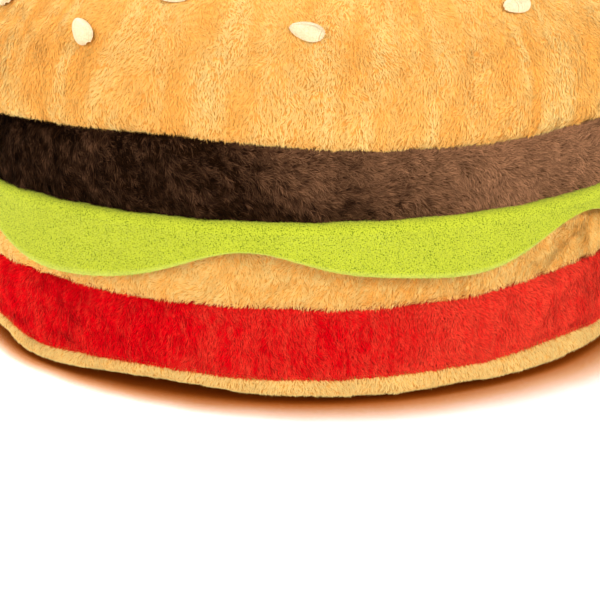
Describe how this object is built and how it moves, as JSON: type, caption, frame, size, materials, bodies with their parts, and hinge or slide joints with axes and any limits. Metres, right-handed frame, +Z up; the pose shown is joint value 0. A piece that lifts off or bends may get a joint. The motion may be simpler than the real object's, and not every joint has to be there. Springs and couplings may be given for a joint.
{
  "type": "novelty hamburger-shaped telephone",
  "caption": "Clamshell telephone shaped like a plush hamburger: earpiece in the lid, keypad and microphone in the base, hinge and line socket at the back.",
  "frame": {"origin": "centre of the non-slip pad's lower face, on the table", "axes": "+Z up, -Y towards the user, hinge and line socket at +Y, +X to the right"},
  "size_m": [0.1518, 0.1591, 0.0874],
  "materials": {
    "tan_plush": "short pile plush, bun tan",
    "brown_plush": "longer, clumping pile plush, patty brown",
    "red_plush": "short pile plush, tomato red",
    "green_felt": "fine knitted fleece felt, lettuce green",
    "seed_thread": "satin-stitched cream thread",
    "foam": "polyester wadding",
    "dark_plastic": "fine-textured dark brown ABS",
    "cream_plastic": "glossy cream ABS",
    "black_plastic": "black moulded plastic",
    "silicone": "grey silicone rubber",
    "black_rubber": "black rubber",
    "board": "green lacquered circuit board",
    "steel": "zinc-plated steel",
    "red_wire": "red vinyl insulation",
    "blue_wire": "blue vinyl insulation"
  },
  "bodies": {
    "base": {"base_shell": "dark_plastic", "non_slip_pad": "black_rubber", "deck": "dark_plastic", "deck_screws": "steel", "circuit_board": "board", "board_parts": "black_plastic", "board_screws": "steel", "board_leads": "red_wire", "key_mat": "silicone", "hook_spring": "steel", "hook_switch": "black_plastic", "ringer": "black_plastic", "microphone": "steel", "microphone_boot": "black_rubber", "modular_jack": "black_plastic", "rear_plate": "dark_plastic", "rear_plate_screws": "steel", "slide_switch_bodies": "steel", "lid_bumpers": "black_rubber", "base_padding": "foam", "middle_bun_cover": "tan_plush", "tomato_cover": "red_plush", "heel_cover": "tan_plush", "hinge_pin": "steel"},
    "lid": {"lid_shell": "dark_plastic", "ear_panel": "dark_plastic", "lid_screws": "steel", "receiver": "black_plastic", "receiver_seal": "black_rubber", "receiver_bracket": "steel", "bracket_screws": "steel", "receiver_leads": "blue_wire", "patty_padding": "foam", "patty_cover": "brown_plush", "lettuce_flap": "green_felt", "crown_filling": "foam", "crown_cover": "tan_plush", "sesame_seeds": "seed_thread"},
    "plunger": {"hook_plunger": "cream_plastic"},
    "ringer_knob": {"ringer_slider": "cream_plastic"},
    "tone_knob": {"tone_slider": "cream_plastic"},
    "key_1_cap": {"key_1": "cream_plastic"},
    "key_2_cap": {"key_2": "cream_plastic"},
    "key_3_cap": {"key_3": "cream_plastic"},
    "key_4_cap": {"key_4": "cream_plastic"},
    "key_5_cap": {"key_5": "cream_plastic"},
    "key_6_cap": {"key_6": "cream_plastic"},
    "key_7_cap": {"key_7": "cream_plastic"},
    "key_8_cap": {"key_8": "cream_plastic"},
    "key_9_cap": {"key_9": "cream_plastic"},
    "key_star_cap": {"key_star": "cream_plastic"},
    "key_0_cap": {"key_0": "cream_plastic"},
    "key_hash_cap": {"key_hash": "cream_plastic"}
  },
  "joints": [
    {"name": "lid_hinge", "type": "hinge", "parent": "base", "child": "lid", "pos_m": [0, 0.079, 0.0244], "axis": [-1, 0, 0], "range_deg": [0, 120]},
    {"name": "hook_press", "type": "slide", "parent": "base", "child": "plunger", "axis": [0, 0, 1], "range_m": [0, 0.003], "deforming": ["hook_spring"]},
    {"name": "ringer_slide", "type": "slide", "parent": "base", "child": "ringer_knob", "axis": [1, 0, 0], "range_m": [-0.0015, 0.0015]},
    {"name": "tone_slide", "type": "slide", "parent": "base", "child": "tone_knob", "axis": [1, 0, 0], "range_m": [-0.0015, 0.0015]},
    {"name": "key_1_press", "type": "slide", "parent": "base", "child": "key_1_cap", "axis": [0, 0, -1], "range_m": [0, 0.0012], "stiffness_N_per_m": 600, "springref_m": -0.0003, "deforming": ["key_mat"]},
    {"name": "key_2_press", "type": "slide", "parent": "base", "child": "key_2_cap", "axis": [0, 0, -1], "range_m": [0, 0.0012], "stiffness_N_per_m": 600, "springref_m": -0.0003, "deforming": ["key_mat"]},
    {"name": "key_3_press", "type": "slide", "parent": "base", "child": "key_3_cap", "axis": [0, 0, -1], "range_m": [0, 0.0012], "stiffness_N_per_m": 600, "springref_m": -0.0003, "deforming": ["key_mat"]},
    {"name": "key_4_press", "type": "slide", "parent": "base", "child": "key_4_cap", "axis": [0, 0, -1], "range_m": [0, 0.0012], "stiffness_N_per_m": 600, "springref_m": -0.0003, "deforming": ["key_mat"]},
    {"name": "key_5_press", "type": "slide", "parent": "base", "child": "key_5_cap", "axis": [0, 0, -1], "range_m": [0, 0.0012], "stiffness_N_per_m": 600, "springref_m": -0.0003, "deforming": ["key_mat"]},
    {"name": "key_6_press", "type": "slide", "parent": "base", "child": "key_6_cap", "axis": [0, 0, -1], "range_m": [0, 0.0012], "stiffness_N_per_m": 600, "springref_m": -0.0003, "deforming": ["key_mat"]},
    {"name": "key_7_press", "type": "slide", "parent": "base", "child": "key_7_cap", "axis": [0, 0, -1], "range_m": [0, 0.0012], "stiffness_N_per_m": 600, "springref_m": -0.0003, "deforming": ["key_mat"]},
    {"name": "key_8_press", "type": "slide", "parent": "base", "child": "key_8_cap", "axis": [0, 0, -1], "range_m": [0, 0.0012], "stiffness_N_per_m": 600, "springref_m": -0.0003, "deforming": ["key_mat"]},
    {"name": "key_9_press", "type": "slide", "parent": "base", "child": "key_9_cap", "axis": [0, 0, -1], "range_m": [0, 0.0012], "stiffness_N_per_m": 600, "springref_m": -0.0003, "deforming": ["key_mat"]},
    {"name": "key_star_press", "type": "slide", "parent": "base", "child": "key_star_cap", "axis": [0, 0, -1], "range_m": [0, 0.0012], "stiffness_N_per_m": 600, "springref_m": -0.0003, "deforming": ["key_mat"]},
    {"name": "key_0_press", "type": "slide", "parent": "base", "child": "key_0_cap", "axis": [0, 0, -1], "range_m": [0, 0.0012], "stiffness_N_per_m": 600, "springref_m": -0.0003, "deforming": ["key_mat"]},
    {"name": "key_hash_press", "type": "slide", "parent": "base", "child": "key_hash_cap", "axis": [0, 0, -1], "range_m": [0, 0.0012], "stiffness_N_per_m": 600, "springref_m": -0.0003, "deforming": ["key_mat"]}
  ],
  "couplings": [
    {"joint": "hook_press", "follows": "lid_hinge", "m_per_rad": 0.0014323}
  ]
}
